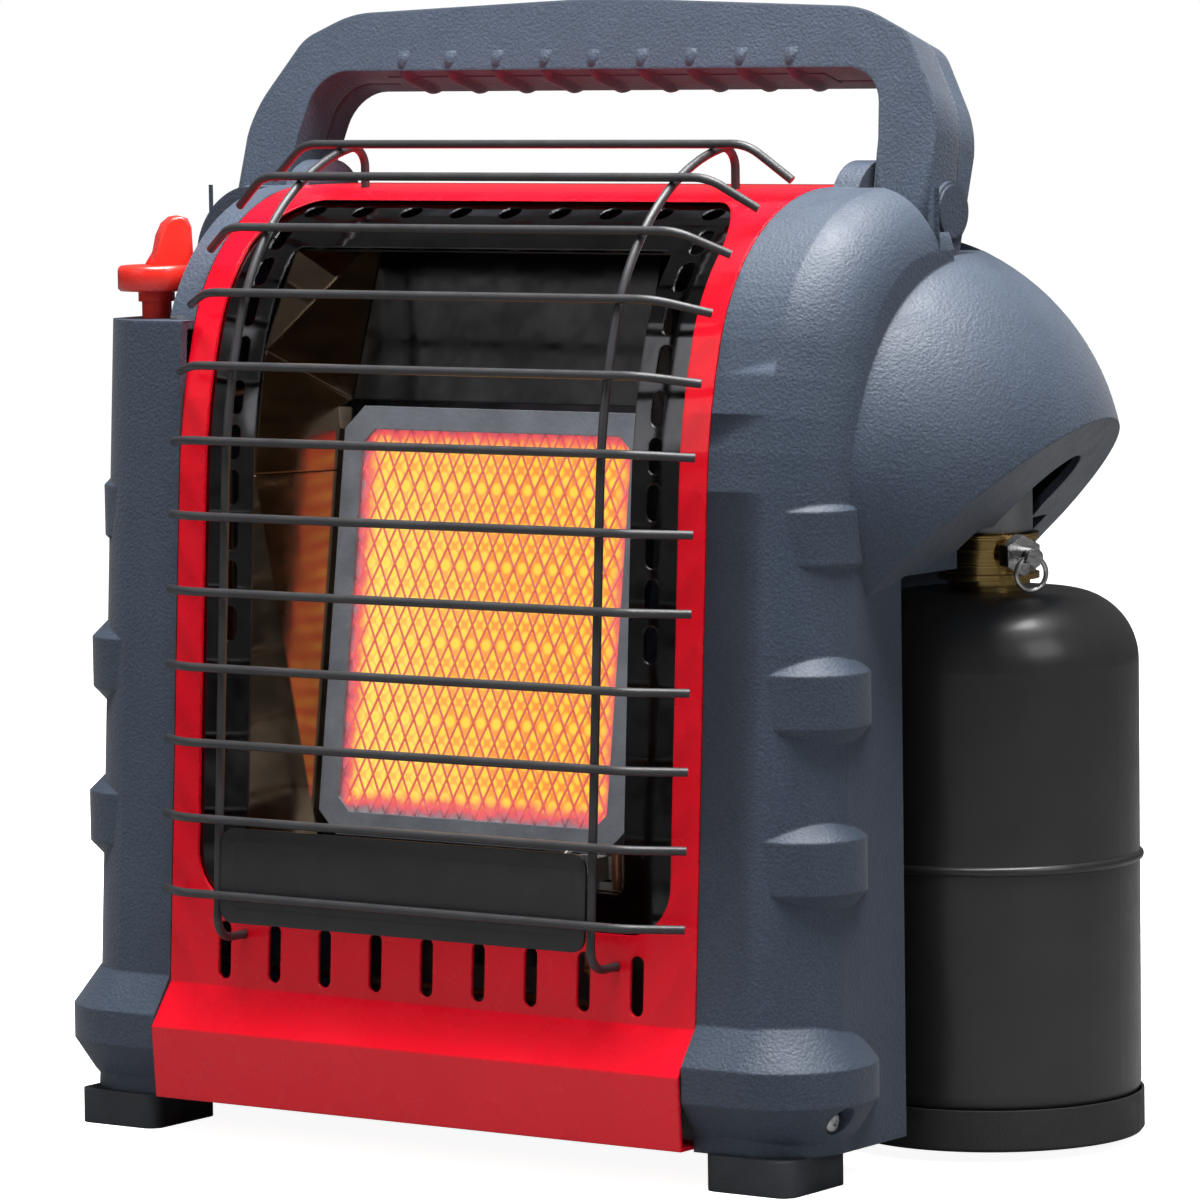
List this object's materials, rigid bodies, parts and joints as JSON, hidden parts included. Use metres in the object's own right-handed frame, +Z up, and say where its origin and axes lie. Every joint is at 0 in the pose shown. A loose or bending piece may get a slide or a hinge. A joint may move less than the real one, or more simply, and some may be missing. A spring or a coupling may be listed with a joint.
{
  "type": "portable propane heater",
  "caption": "Portable radiant propane heater: a ceramic burner behind a wire guard in a housing with a folding handle, fed by a screw-on gas cylinder.",
  "frame": {"origin": "on the floor under the middle of the whole outline, with the handle raised", "axes": "+Z up, the burner faces -Y, +X to the viewer's right, where the cylinder hangs"},
  "size_m": [0.3586, 0.2028, 0.3893],
  "materials": {
    "red_enamel": "gloss red enamel",
    "shell_plastic": "textured slate blue",
    "guard_coat": "satin dark grey",
    "reflector": "polished, heat tinted dark",
    "steel": "plain sheet steel",
    "glow_ceramic": "glowing ceramic plaque",
    "white_ceramic": "white ceramic",
    "screen_wire": "dark heat resistant screen",
    "zinc": "zinc plated casting, dull grey",
    "brass": "turned brass",
    "copper": "copper tube",
    "black_enamel": "satin black enamel",
    "black_plastic": "black moulded",
    "foot_rubber": "black rubber",
    "knob_red": "gloss red",
    "back_paint": "satin black sheet"
  },
  "bodies": {
    "housing": {"front_panel": "red_enamel", "left_shell": "shell_plastic", "left_arch": "shell_plastic", "right_shell": "shell_plastic", "rear_panel": "back_paint", "base_pan": "steel", "heat_shield": "steel", "reflector_frame": "reflector", "reflector_sides": "reflector", "reflector_top": "reflector", "reflector_floor": "reflector", "burner_case": "steel", "burner_tile": "glow_ceramic", "burner_screen": "screen_wire", "burner_plenum": "steel", "venturi_tube": "steel", "gas_orifice": "brass", "pilot_bracket": "steel", "pilot_burner": "steel", "igniter_electrode": "white_ceramic", "thermocouple": "copper", "tip_switch": "black_plastic", "gas_valve": "zinc", "burner_gas_tube": "copper", "pilot_gas_tube": "copper", "main_gas_tube": "copper", "regulator_body": "zinc", "regulator_cap": "zinc", "regulator_inlet": "zinc", "inlet_seal": "foot_rubber", "handle_pins": "steel", "handle_washers": "steel", "guard_bars": "guard_coat", "guard_uprights": "guard_coat", "guard_plate": "guard_coat", "front_feet": "foot_rubber", "rear_feet": "foot_rubber", "shell_screws": "steel", "rear_screws": "steel"},
    "handle_assembly": {"handle": "shell_plastic", "handle_liner": "shell_plastic", "handle_caps": "shell_plastic"},
    "stem": {"valve_stem": "brass", "knob_spindle": "knob_red"},
    "knob": {"knob": "knob_red"},
    "cylinder": {"cylinder_body": "black_enamel", "cylinder_foot": "black_plastic", "cylinder_valve": "brass", "relief_valve": "steel"},
    "pull_ring": {"relief_ring": "steel"}
  },
  "joints": [
    {"name": "handle_fold", "type": "hinge", "parent": "housing", "child": "handle_assembly", "pos_m": [-0.0173, 0.0176, 0.3165], "axis": [-1, 0, 0], "range_deg": [-18, 57]},
    {"name": "knob_turn", "type": "hinge", "parent": "housing", "child": "stem", "pos_m": [-0.1543, -0.0509, 0.285], "axis": [0, 0, -1], "range_deg": [0, 180]},
    {"name": "knob_push", "type": "slide", "parent": "stem", "child": "knob", "axis": [0, 0, -1], "range_m": [0, 0.005], "stiffness_N_per_m": 400, "springref_m": -0.002},
    {"name": "cylinder_turn", "type": "hinge", "parent": "housing", "child": "cylinder", "pos_m": [0.1274, 0.0446, 0.215], "axis": [0, 0, 1], "continuous": true},
    {"name": "ring_swing", "type": "hinge", "parent": "cylinder", "child": "pull_ring", "pos_m": [0.15338, 0.0296, 0.201], "axis": [-0.5, -0.866, 0], "range_deg": [-30, 45]}
  ]
}
